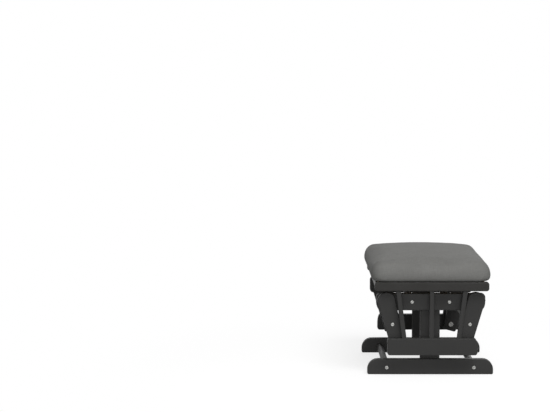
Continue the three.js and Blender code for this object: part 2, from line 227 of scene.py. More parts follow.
def plain_weave_group() -> bpy.types.NodeTree:
    """Builds a plain weave of round threads that cross over and under.

    Returns:
        A group that puts out the threads' height and a tone for each thread.
    """
    sheet, given, out = new_group(
        "ShaderNodeTree", "plain_weave",
        [("U", "NodeSocketFloat", 0.0), ("V", "NodeSocketFloat", 0.0), ("Pitch", "NodeSocketFloat", 0.0012)],
        [("Height", "NodeSocketFloat"), ("Tone", "NodeSocketFloat")])
    across = sheet.math("DIVIDE", given.outputs["U"], given.outputs["Pitch"])
    along = sheet.math("DIVIDE", given.outputs["V"], given.outputs["Pitch"])
    turns = [sheet.times(count, math.pi) for count in (across, along)]
    waves = [sheet.math("ABSOLUTE", sheet.math("SINE", turn)) for turn in turns]
    over = sheet.times(*[sheet.math("COSINE", turn) for turn in turns])
    threads = [
        sheet.times(wave, sheet.math("MULTIPLY_ADD", over, crossing, 1.0 - THREAD_CROSSING))
        for wave, crossing in zip(waves, (THREAD_CROSSING, -THREAD_CROSSING))]
    height = sheet.math("MAXIMUM", *threads)
    lines = sheet.add("ShaderNodeCombineXYZ", {
        0: sheet.math("FLOOR", across), 1: sheet.times(along, THREAD_DRIFT)})
    columns = sheet.add("ShaderNodeCombineXYZ", {
        0: sheet.times(across, THREAD_DRIFT), 1: sheet.math("FLOOR", along)})
    tone = sheet.math("MULTIPLY_ADD", sheet.noise(lines.outputs[0], 3.7, 1.0), 0.5,
                      sheet.times(sheet.noise(columns.outputs[0], 4.3, 1.0), 0.5))
    sheet.feed_all(out, {"Height": height, "Tone": tone})
    return sheet.tree


# Finishes


class Finish:
    """A material that pieces are dressed with, made when it is first asked for."""

    _made: dict = {}

    def material(self) -> bpy.types.Material:
        """Makes the finish's material, or finds it.

        Returns:
            The material.
        """
        key = (type(self).__name__, repr(self))
        if key not in Finish._made:
            material = bpy.data.materials.new(type(self).__name__)
            material.use_nodes = True
            material.node_tree.nodes.clear()
            sheet = NodeSheet(material.node_tree)
            shader = sheet.add("ShaderNodeBsdfPrincipled")
            output = sheet.add("ShaderNodeOutputMaterial")
            sheet.feed(output.inputs["Surface"], shader.outputs[0])
            self.fill(sheet, shader)
            Finish._made[key] = material
        return Finish._made[key]

    def fill(self, sheet: NodeSheet, shader: bpy.types.Node) -> None:
        """Joins the finish's own nodes to the shader.

        Args:
            sheet: the sheet of the material.
            shader: its Principled BSDF.
        """
        raise NotImplementedError

    @staticmethod
    def toned(colour: tuple, factor: float) -> tuple:
        """Returns a colour made darker or lighter by a factor."""
        return tuple(factor * part for part in colour[:3]) + (1.0,)


def shared_group(build: Callable[[], bpy.types.NodeTree], name: str) -> bpy.types.NodeTree:
    """Returns the node group of that name, and builds it when it isn't there yet."""
    return bpy.data.node_groups.get(name) or build()


def bump(sheet: NodeSheet, height: object, depth: float, strength: float) -> bpy.types.NodeSocket:
    """Turns a height into a normal; depth is in metres.

    Args:
        sheet: the sheet of the material.
        height: the socket that gives the height, from 0 to 1.
        depth: how deep the relief is at a height of 1.
        strength: how much of it counts.

    Returns:
        The normal's socket.
    """
    feeds = {"Height": height, "Distance": depth, "Strength": strength}
    return sheet.add("ShaderNodeBump", feeds).outputs[0]


class Grain(Enum):
    """The way in which the grain of a wooden piece runs, as the turn that lays it along X."""

    ALONG = (0.0, 0.0, 0.0)
    ACROSS = (0.0, 0.0, -90.0)
    UPRIGHT = (0.0, 90.0, 0.0)
    FRONT_ARM = (0.0, 75.47, 0.0)
    REAR_ARM = (0.0, 104.53, 0.0)


@dataclass(frozen=True)
class CharcoalPaint(Finish):
    """Satin charcoal paint over hardwood."""

    grain: Grain = Grain.ALONG
    colour: tuple = (0.0322, 0.0319, 0.0311, 1.0)
    # Colour of the lighter edges: part rubbed paint, part painted highlight where the rounded edges catch
    # light.
    worn_and_highlight_colour: tuple = (0.085, 0.085, 0.083, 1.0)
    roughness: tuple = (0.42, 0.56)
    specular: float = 0.16
    darkest: float = 0.88
    wear_and_highlight: float = 0.45
    relief: float = 0.00012
    strength: float = 0.5

    def fill(self, sheet: NodeSheet, shader: bpy.types.Node) -> None:
        """Joins the grain, the unevenness and the lighter edges, part rubbed wear and part painted highlight,
        to the shader.

        Args:
            sheet: the sheet of the material.
            shader: its Principled BSDF.
        """
        place = sheet.add("ShaderNodeTexCoord").outputs["Object"]
        turn = tuple(math.radians(angle) for angle in self.grain.value)
        turned = sheet.add("ShaderNodeMapping", {"Vector": place, "Rotation": turn}).outputs[0]
        edge = sheet.add("ShaderNodeAttribute", attribute_name="edge").outputs["Fac"]
        grain = sheet.add("ShaderNodeGroup", node_tree=shared_group(painted_grain_group, "grain_under_paint"))
        sheet.feed_all(grain, {"Vector": turned, "Edge": edge})
        # Lighter edges: part rubbed wear, part painted highlight.
        worn_and_highlit = sheet.times(grain.outputs["WornAndHighlit"], self.wear_and_highlight)
        patches = grain.outputs["Unevenness"]
        uneven = sheet.mix_colour(patches, self.toned(self.colour, self.darkest), self.colour)
        sheet.feed_all(shader, {
            "Base Color": sheet.mix_colour(worn_and_highlit, uneven, self.worn_and_highlight_colour),
            "Roughness": sheet.ramp(patches, 0.3, 0.7, *self.roughness),
            "Normal": bump(sheet, grain.outputs["Relief"], self.relief, self.strength),
            "Specular IOR Level": self.specular})


@dataclass(frozen=True)
class PlatedSteel(Finish):
    """Zinc-plated steel with fine turning marks."""

    colour: tuple = (0.29, 0.29, 0.28, 1.0)
    dullest: float = 0.72
    roughness: tuple = (0.3, 0.48)
    spot_scale: float = 420.0
    mark_scale: float = 2600.0
    relief: float = 0.00004
    strength: float = 0.4

    def fill(self, sheet: NodeSheet, shader: bpy.types.Node) -> None:
        """Joins the plating's spots and marks to the shader.

        Args:
            sheet: the sheet of the material.
            shader: its Principled BSDF.
        """
        place = sheet.add("ShaderNodeTexCoord").outputs["Object"]
        spots = sheet.noise(place, self.spot_scale, 3.0)
        marks = sheet.noise(place, self.mark_scale, 2.0)
        duller = self.toned(self.colour, self.dullest)
        sheet.feed_all(shader, {
            "Base Color": sheet.mix_colour(sheet.ramp(spots, 0.35, 0.65), duller, self.colour),
            "Roughness": sheet.ramp(marks, 0.3, 0.7, *self.roughness),
            "Normal": bump(sheet, marks, self.relief, self.strength),
            "Metallic": 1.0})


@dataclass(frozen=True)
class NaturalNylon(Finish):
    """Milky nylon of the washers, dulled by rubbing."""

    colour: tuple = (0.62, 0.61, 0.56, 1.0)
    dullest: float = 0.7
    roughness: tuple = (0.4, 0.6)
    cloud_scale: float = 240.0
    relief: float = 0.00005
    strength: float = 0.3

    def fill(self, sheet: NodeSheet, shader: bpy.types.Node) -> None:
        """Joins the rubbed tone to the shader.

        Args:
            sheet: the sheet of the material.
            shader: its Principled BSDF.
        """
        place = sheet.add("ShaderNodeTexCoord").outputs["Object"]
        cloud = sheet.noise(place, self.cloud_scale, 3.0)
        sheet.feed_all(shader, {
            "Base Color": sheet.mix_colour(cloud, self.toned(self.colour, self.dullest), self.colour),
            "Roughness": sheet.ramp(cloud, 0.3, 0.7, *self.roughness),
            "Normal": bump(sheet, cloud, self.relief, self.strength)})


@dataclass(frozen=True)
class BarePlywood(Finish):
    """Bare plywood, with plies at its edges and an open grain on its faces."""

    light: tuple = (0.52, 0.36, 0.20, 1.0)
    dark: tuple = (0.30, 0.18, 0.09, 1.0)
    ply: float = 0.0015
    roughness: tuple = (0.62, 0.8)
    relief: float = 0.0002
    strength: float = 0.5

    def fill(self, sheet: NodeSheet, shader: bpy.types.Node) -> None:
        """Joins the plies and the grain to the shader.

        Args:
            sheet: the sheet of the material.
            shader: its Principled BSDF.
        """
        coordinates = sheet.add("ShaderNodeTexCoord")
        place = coordinates.outputs["Object"]
        grain = sheet.noise(sheet.scaled(place, PLY_GRAIN_SCALE), 1.0, 4.0)
        plies = sheet.math("PINGPONG", sheet.axes(place)["Z"], self.ply)
        layer = sheet.ramp(plies, 0.4 * self.ply, 0.6 * self.ply)
        facing = sheet.axes(coordinates.outputs["Normal"])["Z"]
        on_face = sheet.ramp(sheet.math("ABSOLUTE", facing), 0.6, 0.8)
        tone = sheet.mix_colour(on_face, sheet.mix_colour(layer, self.dark, self.light),
                                sheet.mix_colour(sheet.ramp(grain, 0.35, 0.65), self.dark, self.light))
        sheet.feed_all(shader, {
            "Base Color": tone,
            "Roughness": sheet.ramp(grain, 0.3, 0.7, *self.roughness),
            "Normal": bump(sheet, grain, self.relief, self.strength)})


@dataclass(frozen=True)
class GreyWeave(Finish):
    """Plain grey upholstery cloth of soft round threads."""

    colour: tuple = (0.185, 0.185, 0.177, 1.0)
    pitch: float = 0.0013
    tone_spread: float = 0.16
    roughness: tuple = (0.86, 0.97)
    cloud_scale: float = 22.0
    fuzz_scale: float = 2200.0
    relief: float = 0.00022
    strength: float = 0.55
    specular: float = 0.2
    sheen: float = 0.03
    sheen_roughness: float = 0.5

    def fill(self, sheet: NodeSheet, shader: bpy.types.Node) -> None:
        """Lays the weave on the cloth from the three sides and joins it to the shader.

        Args:
            sheet: the sheet of the material.
            shader: its Principled BSDF.
        """
        coordinates = sheet.add("ShaderNodeTexCoord")
        place = sheet.axes(coordinates.outputs["Object"])
        facing = sheet.axes(coordinates.outputs["Normal"])
        weights = [sheet.math("POWER", sheet.math("ABSOLUTE", facing[axis]), 6.0) for axis in range(3)]
        total = sheet.math("ADD", sheet.math("ADD", weights[0], weights[1]), weights[2])
        weave = shared_group(plain_weave_group, "plain_weave")
        height, tone = 0.0, 0.0
        for axis, (u, v) in enumerate(((1, 2), (0, 2), (0, 1))):
            share = sheet.math("DIVIDE", weights[axis], total)
            side = sheet.add("ShaderNodeGroup", node_tree=weave)
            sheet.feed_all(side, {"U": place[u], "V": place[v], "Pitch": self.pitch})
            height = sheet.math("MULTIPLY_ADD", side.outputs["Height"], share, height)
            tone = sheet.math("MULTIPLY_ADD", side.outputs["Tone"], share, tone)
        cloud = sheet.noise(coordinates.outputs["Object"], self.cloud_scale, 3.0)
        fuzz = sheet.noise(coordinates.outputs["Object"], self.fuzz_scale, 2.0)
        thread = sheet.math("MULTIPLY_ADD", height, 0.5, tone)
        shade = sheet.math("MULTIPLY_ADD", cloud, 0.35, thread)
        low, high = (self.toned(self.colour, 1.0 + sign * self.tone_spread) for sign in (-1, 1))
        relief = sheet.math("MULTIPLY_ADD", fuzz, 0.35, height)
        sheet.feed_all(shader, {
            "Base Color": sheet.mix_colour(sheet.ramp(shade, 0.55, 1.45), low, high),
            "Roughness": sheet.ramp(fuzz, 0.3, 0.7, *self.roughness),
            "Normal": bump(sheet, relief, self.relief, self.strength),
            "Specular IOR Level": self.specular,
            "Sheen Weight": self.sheen,
            "Sheen Roughness": self.sheen_roughness})


# Meshes


def new_piece(name: str, mesh: bpy.types.Mesh, finish: Finish) -> bpy.types.Object:
    """Makes an object at the origin.

    Args:
        name: its name.
        mesh: its mesh, in metres.
        finish: its only finish.

    Returns:
        The new object, in the scene.
    """
    piece = bpy.data.objects.new(name, mesh)
    mesh.materials.clear()
    mesh.materials.append(finish.material())
    bpy.context.scene.collection.objects.link(piece)
    return piece


def smooth(mesh: bpy.types.Mesh, crease_degrees: float = 32.0) -> None:
    """Shades a mesh smooth, apart from edges sharper than the crease angle."""
    mesh.shade_smooth()
    mesh.set_sharp_from_angle(angle=math.radians(crease_degrees))


def finished_mesh(name: str, built: bmesh.types.BMesh) -> bpy.types.Mesh:
    """Turns a mesh in the making into a smooth-shaded one.

    Args:
        name: the mesh's name.
        built: the mesh in the making, which is freed.

    Returns:
        The new mesh.
    """
    mesh = bpy.data.meshes.new(name)
    built.to_mesh(mesh)
    built.free()
    smooth(mesh)
    return mesh


def evaluated_mesh(piece: bpy.types.Object) -> bpy.types.Mesh:
    """Makes a plain mesh of what a piece's modifiers make.

    Args:
        piece: the piece with its modifiers.

    Returns:
        The mesh, on its own.
    """
    bpy.context.view_layer.update()
    depsgraph = bpy.context.evaluated_depsgraph_get()
    return bpy.data.meshes.new_from_object(piece.evaluated_get(depsgraph))


def hand_over(piece: bpy.types.Object, body: str, nodes: Iterable[str]) -> None:
    """Lets a piece ride on its body in place of the nodes that it stands for.

    Args:
        piece: the finished piece.
        body: the moving body that carries it.
        nodes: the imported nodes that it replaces.
    """
    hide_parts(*nodes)
    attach(piece, body)
    LOG.info("%s rides on %s with %d faces", piece.name, body, len(piece.data.polygons))


@dataclass(frozen=True)
class Arc:
    """Part of an ellipse in an outline, with its two radii and its angles in degrees."""

    x: float
    z: float
    long: float
    high: float
    start: float
    end: float

    def points(self, steps: int) -> list:
        """Lays points along the arc.

        Args:
            steps: the number of equal steps from its start to its end.

        Returns:
            (x, z, normal x, normal z) of each point.
        """
        found = []
        for step in range(steps + 1):
            turn = math.radians(self.start + (self.end - self.start) * step / steps)
            normal = Vector((math.cos(turn) / self.long, math.sin(turn) / self.high)).normalized()
            found.append((self.x + self.long * math.cos(turn), self.z + self.high * math.sin(turn), *normal))
        return found


def rounded_rectangle(low: tuple, high: tuple, top: tuple, bottom: tuple) -> list:
    """Builds the arcs of an upright rectangle.

    Args:
        low: x and z of the lower left corner.
        high: x and z of the upper right corner.
        top: the two radii of the top corners.
        bottom: the two radii of the bottom corners.

    Returns:
        The four corner arcs, anticlockwise.
    """
    (x0, z0), (x1, z1) = low, high
    return [
        Arc(x1 - bottom[0], z0 + bottom[1], *bottom, -90, 0),
        Arc(x1 - top[0], z1 - top[1], *top, 0, 90),
        Arc(x0 + top[0], z1 - top[1], *top, 90, 180),
        Arc(x0 + bottom[0], z0 + bottom[1], *bottom, 180, 270),
    ]


@dataclass(frozen=True)
class Bore:
    """A bore along Y; from_y and to_y are its two ends."""

    x: float
    z: float
    radius: float
    from_y: float
    to_y: float


@dataclass
class Board:
    """A flat board in the XZ plane with rounded edges, and its thickness along Y."""

    arcs: list
    low_y: float
    high_y: float
    edge: float = 3.0
    edge_steps: int = 5
    arc_steps: int = 14
    bores: list = field(default_factory=list)
    place: Matrix = field(default_factory=lambda: Matrix.Identity(4))

    BORE_SIDES = 32
    MERGE_MM = 0.002

    def rings(self) -> list:
        """Lays the rings that round the board's edges.

        Returns:
            (inset, y, edge share) of each ring, from the low face to the high one.
        """
        found = []
        for step in range(self.edge_steps + 1):
            turn = math.pi / 2 * step / self.edge_steps
            inset, depth = self.edge * (1 - math.sin(turn)), self.edge * (1 - math.cos(turn))
            found.append((inset, depth, math.sin(2 * turn)))
        low = [(inset, self.low_y + depth, share) for inset, depth, share in found]
        high = [(inset, self.high_y - depth, share) for inset, depth, share in reversed(found)]
        return low + high

    def mesh(self, name: str) -> bpy.types.Mesh:
        """Builds the board, with its rounded edges marked for wear and for a painted highlight.

        Args:
            name: the mesh's name.

        Returns:
            The mesh, in metres.
        """
        built = bmesh.new()
        # The edge share marks where the paint is lighter: rubbed wear and painted highlight.
        wear_and_highlight_share = built.verts.layers.float.new("edge")
        outline = [point for arc in self.arcs for point in arc.points(self.arc_steps)]
        loops = []
        for inset, y, share in self.rings():
            loop = []
            for x, z, nx, nz in outline:
                vertex = built.verts.new(Vector((x - inset * nx, y, z - inset * nz)))
                vertex[wear_and_highlight_share] = share
                loop.append(vertex)
            loops.append(loop)
        for lower, upper in zip(loops, loops[1:]):
            self.bridge(built, lower, upper)
        mouths = {self.low_y: [loops[0]], self.high_y: [loops[-1]]}
        for bore in self.bores:
            self.add_bore(built, bore, mouths)
        for rims in mouths.values():
            edges = [self.edge_between(built, rim, index) for rim in rims for index in range(len(rim))]
            bmesh.ops.triangle_fill(built, use_beauty=True, edges=edges)
        bmesh.ops.remove_doubles(built, verts=built.verts[:], dist=self.MERGE_MM)
        bmesh.ops.recalc_face_normals(built, faces=built.faces[:])
        bmesh.ops.transform(built, matrix=Matrix.Scale(MM, 4) @ self.place, verts=built.verts[:])
        return finished_mesh(name, built)

    def dress(self, node: str, finish: Finish, body: str,
              prefix: str = "painted_") -> None:
        """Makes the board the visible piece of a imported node.

        Args:
            node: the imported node.
            finish: the board's finish.
            body: the body that carries it.
            prefix: what the piece's name adds before the node's.
        """
        piece = new_piece(prefix + node, self.mesh(node), finish)
        piece.modifiers.new("flat faces", "WEIGHTED_NORMAL").keep_sharp = True
        hand_over(piece, body, [node])

    def add_bore(self, built: bmesh.types.BMesh, bore: Bore, mouths: dict) -> None:
        """Adds a bore's wall, and its floor where it doesn't go through.

        Args:
            built: the board's mesh in the making.
            bore: the bore.
            mouths: the rims on each face of the board, by the face's y.
        """
        ends = []
        for y in (bore.from_y, bore.to_y):
            loop = []
            for side in range(self.BORE_SIDES):
                turn = 2 * math.pi * side / self.BORE_SIDES
                x, z = bore.x + bore.radius * math.cos(turn), bore.z + bore.radius * math.sin(turn)
                loop.append(built.verts.new(Vector((x, y, z))))
            ends.append(loop)
            if y in mouths:
                mouths[y].append(loop)
            else:
                built.faces.new(loop)
        self.bridge(built, *ends)

    @staticmethod
    def edge_between(built: bmesh.types.BMesh, rim: list, index: int) -> bmesh.types.BMEdge:
        """Returns the edge from one vertex of a rim to the next."""
        pair = (rim[index], rim[(index + 1) % len(rim)])
        return built.edges.get(pair) or built.edges.new(pair)

    @staticmethod
    def bridge(built: bmesh.types.BMesh, lower: list, upper: list) -> None:
        """Joins two loops of equal count by a band of faces.

        Args:
            built: the mesh in the making.
            lower: the first loop's vertices.
            upper: the second loop's vertices.
        """
        count = len(lower)
        for index in range(count):
            following = (index + 1) % count
            built.faces.new((lower[index], upper[index], upper[following], lower[following]))


@dataclass(frozen=True)
class Turned:
    """A turned piece about the Y axis: rings of (radius, y, whether it is six-sided)."""

    profile: tuple
    sides: int = 36

    def mesh(self, name: str) -> bpy.types.Mesh:
        """Builds the piece, closed where the profile meets the axis.

        Args:
            name: the mesh's name.

        Returns:
            The mesh, in metres.
        """
        built = bmesh.new()
        loops = []
        for radius, y, six_sided in self.profile:
            loop = []
            for side in range(self.sides):
                turn = 2 * math.pi * side / self.sides
                reach = radius
                if six_sided:
                    reach *= math.cos(math.pi / 6) / math.cos(turn % (math.pi / 3) - math.pi / 6)
                loop.append(built.verts.new(Vector((reach * math.cos(turn), y, reach * math.sin(turn))) * MM))
            loops.append(loop)
        for lower, upper in zip(loops, loops[1:]):
            Board.bridge(built, lower, upper)
        bmesh.ops.remove_doubles(built, verts=built.verts[:], dist=Board.MERGE_MM * MM)
        bmesh.ops.recalc_face_normals(built, faces=built.faces[:])
        return finished_mesh(name, built)


def box_mm(node: str) -> tuple:
    """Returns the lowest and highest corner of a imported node, in millimetres."""
    low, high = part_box(node)
    return low / MM, high / MM


def centre_mm(node: str) -> Vector:
    """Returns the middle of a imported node's box, in millimetres."""
    low, high = box_mm(node)
    return (low + high) / 2


def blind_span(side: str, low: Vector, high: Vector) -> tuple:
    """Returns the two ends of a blind bore that starts at a board's inner face."""
    return (high.y - BLIND_DEPTH, high.y) if side == "right" else (low.y, low.y + BLIND_DEPTH)


# Geometry nodes for what repeats


def realized(sheet: NodeSheet, given: bpy.types.Node, out: bpy.types.Node,
             shape: bpy.types.NodeSocket) -> bpy.types.NodeTree:
    """Ends a tree: makes its instances real and gives them their finish.

    Args:
        sheet: the tree's sheet.
        given: its input node.
        out: its output node.
        shape: the geometry to put out.

    Returns:
        The finished tree.
    """
    solid = sheet.add("GeometryNodeRealizeInstances", {0: shape}).outputs[0]
    feeds = {"Geometry": solid, "Material": given.outputs["Finish"]}
    sheet.feed(out.inputs[0], sheet.add("GeometryNodeSetMaterial", feeds).outputs[0])
    return sheet.tree


def swept_bar_tree(is_round: bool) -> bpy.types.NodeTree:
    """Builds the tree that lays a bar along each edge of a mesh.

    Args:
        is_round: whether the bar is a dowel or a slat with rounded arrises.

    Returns:
        A tree with the inputs Width, Depth, Arris and Finish.
    """
    sheet, given, out = new_group(
        "GeometryNodeTree", "dowels" if is_round else "slats",
        [("Lines", "NodeSocketGeometry", None), ("Width", "NodeSocketFloat", 0.013),
         ("Depth", "NodeSocketFloat", 0.014), ("Arris", "NodeSocketFloat", 0.0015),
         ("Finish", "NodeSocketMaterial", None)],
        [("Bars", "NodeSocketGeometry")])
    lines = sheet.add("GeometryNodeMeshToCurve", {"Mesh": given.outputs["Lines"]}).outputs[0]
    if is_round:
        feeds = {"Resolution": DOWEL_SIDES, "Radius": sheet.times(given.outputs["Width"], 0.5)}
        section = sheet.add("GeometryNodeCurvePrimitiveCircle", feeds).outputs[0]
    else:
        square = sheet.add("GeometryNodeCurvePrimitiveQuadrilateral", {
            "Width": given.outputs["Width"], "Height": given.outputs["Depth"]}).outputs[0]
        feeds = {"Curve": square, "Count": ARRIS_STEPS, "Radius": given.outputs["Arris"]}
        section = sheet.add("GeometryNodeFilletCurve", feeds, mode="POLY").outputs[0]
    swept = sheet.add("GeometryNodeCurveToMesh", {
        "Curve": lines, "Profile Curve": section, "Fill Caps": True}).outputs[0]
    return realized(sheet, given, out, swept)


def fastener_tree() -> bpy.types.NodeTree:
    """Builds the tree that puts a fastener at each point, turned about on the left side.

    Returns:
        A tree with the inputs Fastener and Finish.
    """
    sheet, given, out = new_group(
        "GeometryNodeTree", "fasteners",
        [("Places", "NodeSocketGeometry", None), ("Fastener", "NodeSocketObject", None),
         ("Finish", "NodeSocketMaterial", None)],
        [("Fasteners", "NodeSocketGeometry")])
    single = sheet.add("GeometryNodeObjectInfo", {"Object": given.outputs["Fastener"]}).outputs["Geometry"]
    place = sheet.add("GeometryNodeInputPosition").outputs[0]
    on_left = sheet.math("GREATER_THAN", sheet.axes(place)["Y"], 0.0)
    turn = sheet.add("ShaderNodeCombineXYZ", {"Z": sheet.times(on_left, math.pi)}).outputs[0]
    points = sheet.add("GeometryNodeInstanceOnPoints", {
        "Points": given.outputs["Places"], "Instance": single, "Rotation": turn}).outputs[0]
    return realized(sheet, given, out, points)


def grown(name: str, tree: bpy.types.NodeTree, points: Sequence[Vector], lines: Sequence[tuple],
          finish: Finish, **sizes: object) -> bpy.types.Object:
    """Runs a tree on points and lines and keeps the plain mesh that it makes.

    Args:
        name: the new piece's name.
        tree: a geometry node tree whose first input is the points and lines.
        points: places in metres.
        lines: pairs of numbers of points.
        finish: the piece's finish.
        **sizes: the tree's other inputs by name.

    Returns:
        The piece, with no modifier left on it.
    """
    seed = bpy.data.meshes.new(name + "_seed")
    seed.from_pydata([tuple(point) for point in points], list(lines), [])
    holder = bpy.data.objects.new(name + "_seed", seed)
    bpy.context.scene.collection.objects.link(holder)
    modifier = holder.modifiers.new("make", "NODES")
    modifier.node_group = tree
    values = {**sizes, "Finish": finish.material()}
    for item in tree.interface.items_tree:
        if item.item_type == "SOCKET" and item.in_out == "INPUT" and item.name in values:
            modifier[item.identifier] = values[item.name]
    mesh = evaluated_mesh(holder)
    bpy.data.objects.remove(holder)
    mesh.name = name
    smooth(mesh)
    return new_piece(name, mesh, finish)


def bar_lines(count: int) -> list:
    """Returns the lines of bars whose ends are laid two by two, as pairs of numbers of points."""
    return [(2 * index, 2 * index + 1) for index in range(count)]


@dataclass
class Fastener:
    """A bolt or washer, its heads' plane and the nodes that it stands for."""

    name: str
    shape: Turned
    finish: Finish
    slot: str
    outer: bool
    head: float

    def put(self, body: str, nodes: Sequence[str], tree: bpy.types.NodeTree) -> None:
        """Puts the fastener at each node's place and hands the piece over.

        Args:
            body: the body that carries them.
            nodes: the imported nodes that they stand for.
            tree: the tree that places fasteners.
        """
        single = new_piece(self.name + "_single", self.shape.mesh(self.name), self.finish)
        places = []
        for node in nodes:
            middle = centre_mm(node)
            side = 1 if middle.y > 0 else -1
            inner, outer = sorted(abs(corner.y) for corner in box_mm(node))
            y = outer - self.head if self.outer else inner + self.head
            places.append(Vector((middle.x, side * y, middle.z)) * MM)
        piece = grown(f"{self.name}_{body}", tree, places, [], self.finish, Fastener=single)
        bpy.data.objects.remove(single)
        hand_over(piece, body, nodes)


# Sub-assemblies


@dataclass
class StandingBase:
    """The foot rails, top rails and centre posts on the floor."""

    foot_corner: tuple = (32.0, 32.0)
    foot_bottom: tuple = (5.0, 5.0)
    top_corner: tuple = (12.0, 12.0)
    top_rail_foot: tuple = (14.0, 26.0)
    post_corner: tuple = (4.0, 4.0)
    top_rail_skirt: float = 1.3
    # The base's paint is lighter than the rest of the frame's: painted light, making up for the light that
    # reaches the base less.
    paint_colour_with_painted_light: tuple = (0.0365, 0.0362, 0.0353, 1.0)

    def build(self) -> None:
        """Builds the base's boards on both sides."""
        for side in SIDES:
            self.board(f"foot_rail_{side}", self.foot_corner, self.foot_bottom, Grain.ALONG,
                       [(f"foot_bolt_{end}_{side}", BOLT_BORE) for end in ENDS])
            foot = self.top_rail_foot if side == "right" else self.top_corner
            self.board(f"top_rail_{side}", self.top_corner, foot, Grain.ALONG,
                       [(f"upper_bolt_{end}_{side}", BOLT_BORE) for end in ENDS]
                       + [(f"upper_pivot_bolt_{end}_{side}", PIVOT_BORE) for end in ENDS])
            self.board(f"centre_post_{side}", self.post_corner, self.post_corner, Grain.UPRIGHT, [])

    def board(self, node: str, top: tuple, bottom: tuple, grain: Grain, bolts: Sequence[tuple]) -> None:
        """Builds one board in its node's box.

        Args:
            node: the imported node.
            top: the radii of its top corners.
            bottom: the radii of its bottom corners.
            grain: how its grain runs.
            bolts: (bolt's node, bore's radius) of each bolt that goes through it.
        """
        low, high = box_mm(node)
        if node.startswith("top_rail"):
            low.z -= self.top_rail_skirt
        bores = []
        for bolt, radius in bolts:
            middle = centre_mm(bolt)
            bores.append(Bore(middle.x, middle.z, radius, low.y, high.y))
        arcs = rounded_rectangle((low.x, low.z), (high.x, high.z), top, bottom)
        # Lighter paint on the base: painted light.
        paint = CharcoalPaint(grain, colour=self.paint_colour_with_painted_light)
        Board(arcs, low.y, high.y, bores=bores).dress(node, paint, "base")


@dataclass
class SwingArms:
    """The four slanting arms between the base and the seat."""

    top_radius: float = 29.0
    top_half_width: float = 26.5
    end_half_width: float = 21.0
    end_overhang: float = 21.0
    end_corner: float = 6.0
    open_bore: float = 5.45

    def build(self) -> None:
        """Builds the arms of both ends on both sides."""
        for end in ENDS:
            for side in SIDES:
                self.arm(end, side)

    def arm(self, end: str, side: str) -> None:
        """Builds one arm, from its upper pivot to just past its lower one.

        Args:
            end: the end of the glide at which it hangs.
            side: its side.
        """
        node = f"swing_arm_{end}_{side}"
        low, high = box_mm(node)
        upper = centre_mm(f"upper_washer_{end}_{side}")
        lower = centre_mm(f"lower_washer_{end}_{side}")
        hang = Vector((lower.x - upper.x, lower.z - upper.z))
        reach = hang.length
        lean = math.atan2(hang.x, -hang.y)
        tip = -reach - self.end_overhang
        inner = self.end_half_width - self.end_corner
        turn = math.degrees(math.acos(self.top_half_width / self.top_radius))
        arcs = [
            Arc(inner, tip + self.end_corner, self.end_corner, self.end_corner, -90, 0),
            Arc(0, 0, self.top_radius, self.top_radius, turn, 180 - turn),
            Arc(-inner, tip + self.end_corner, self.end_corner, self.end_corner, 180, 270),
        ]
        bores = [
            Bore(0, 0, PIVOT_BORE, *blind_span(side, low, high)),
            Bore(0, -reach / 2, BOLT_BORE, low.y, high.y),
            Bore(0, -reach, self.open_bore if end == "rear" else PIVOT_BORE, low.y, high.y),
        ]
        place = Matrix.Translation((upper.x, 0, upper.z)) @ Matrix.Rotation(-lean, 4, "Y")
        paint = CharcoalPaint(Grain.FRONT_ARM if end == "front" else Grain.REAR_ARM)
        board = Board(arcs, low.y, high.y, arc_steps=20, bores=bores, place=place)
        board.dress(node, paint, f"{end}_arms")


